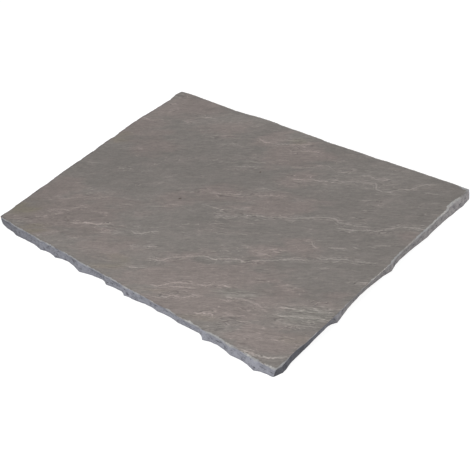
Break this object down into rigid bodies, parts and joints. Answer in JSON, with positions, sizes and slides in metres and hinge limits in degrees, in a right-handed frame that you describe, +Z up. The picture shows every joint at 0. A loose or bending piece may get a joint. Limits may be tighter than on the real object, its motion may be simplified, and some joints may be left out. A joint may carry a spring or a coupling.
{
  "type": "sandstone paving slab",
  "caption": "Rectangular natural sandstone paving slab with a riven top, a flat bed and hand-dressed edges.",
  "frame": {"origin": "middle of the flat bed, the lower face that rests on the mortar or the ground", "axes": "+X along the slab's length, +Y along its width, +Z up through the riven walking face"},
  "size_m": [0.9098, 0.6171, 0.022],
  "materials": {
    "sandstone": "matt, naturally riven along the bedding, brownish taupe and greenish grey with pale veins"
  },
  "bodies": {
    "root": {"slab": "sandstone"}
  },
  "joints": []
}
